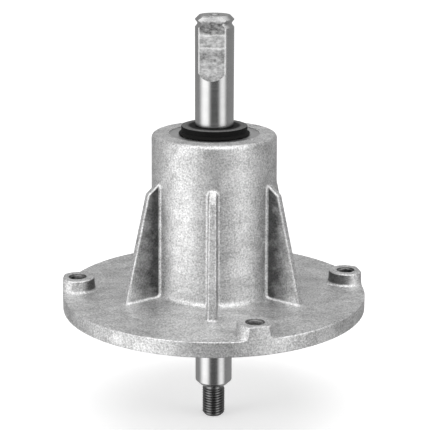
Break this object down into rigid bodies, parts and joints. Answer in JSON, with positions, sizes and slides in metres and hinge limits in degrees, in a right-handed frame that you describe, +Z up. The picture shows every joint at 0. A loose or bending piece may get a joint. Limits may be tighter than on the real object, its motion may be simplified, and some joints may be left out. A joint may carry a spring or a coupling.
{
  "type": "drive shaft assembly",
  "caption": "Cast flanged spindle with ribs, carrying a steel drive shaft in sealed ball bearings: milled flat at the top, threaded stub below, tapped bosses round the flange.",
  "frame": {"origin": "on the shaft's axis, in the flange's seating face", "axes": "+Z up the hub towards the shaft's flat end, -Y towards the shaft's flat"},
  "size_m": [0.16, 0.16, 0.2172],
  "materials": {
    "cast_aluminium": "bead-blasted casting",
    "shaft_steel": "turned and polished",
    "bearing_steel": "ground and polished",
    "spring_steel": "blackened",
    "seal_rubber": "matt moulded",
    "bearing_seal_rubber": "matt moulded",
    "cage_nylon": "moulded"
  },
  "bodies": {
    "housing": {"spindle_housing": "cast_aluminium", "retaining_ring": "spring_steel", "lower_outer_ring": "bearing_steel", "lower_bottom_seal": "bearing_seal_rubber", "lower_top_seal": "bearing_seal_rubber", "upper_outer_ring": "bearing_steel", "upper_bottom_seal": "bearing_seal_rubber", "upper_top_seal": "bearing_seal_rubber"},
    "rotor": {"drive_shaft": "shaft_steel", "dust_seal": "seal_rubber", "lower_inner_ring": "bearing_steel", "upper_inner_ring": "bearing_steel"},
    "lower_ball_set": {"lower_cage": "cage_nylon", "lower_ball_1": "bearing_steel", "lower_ball_2": "bearing_steel", "lower_ball_3": "bearing_steel", "lower_ball_4": "bearing_steel", "lower_ball_5": "bearing_steel", "lower_ball_6": "bearing_steel", "lower_ball_7": "bearing_steel", "lower_ball_8": "bearing_steel"},
    "upper_ball_set": {"upper_cage": "cage_nylon", "upper_ball_1": "bearing_steel", "upper_ball_2": "bearing_steel", "upper_ball_3": "bearing_steel", "upper_ball_4": "bearing_steel", "upper_ball_5": "bearing_steel", "upper_ball_6": "bearing_steel", "upper_ball_7": "bearing_steel", "upper_ball_8": "bearing_steel"}
  },
  "joints": [
    {"name": "shaft_spin", "type": "hinge", "parent": "housing", "child": "rotor", "pos_m": [0, 0, 0], "axis": [0, 0, 1], "continuous": true},
    {"name": "lower_balls_orbit", "type": "hinge", "parent": "housing", "child": "lower_ball_set", "pos_m": [0, 0, 0.013], "axis": [0, 0, 1], "continuous": true},
    {"name": "upper_balls_orbit", "type": "hinge", "parent": "housing", "child": "upper_ball_set", "pos_m": [0, 0, 0.081], "axis": [0, 0, 1], "continuous": true}
  ],
  "couplings": [
    {"joint": "lower_balls_orbit", "follows": "shaft_spin", "ratio": 0.38149},
    {"joint": "upper_balls_orbit", "follows": "shaft_spin", "ratio": 0.38149}
  ]
}
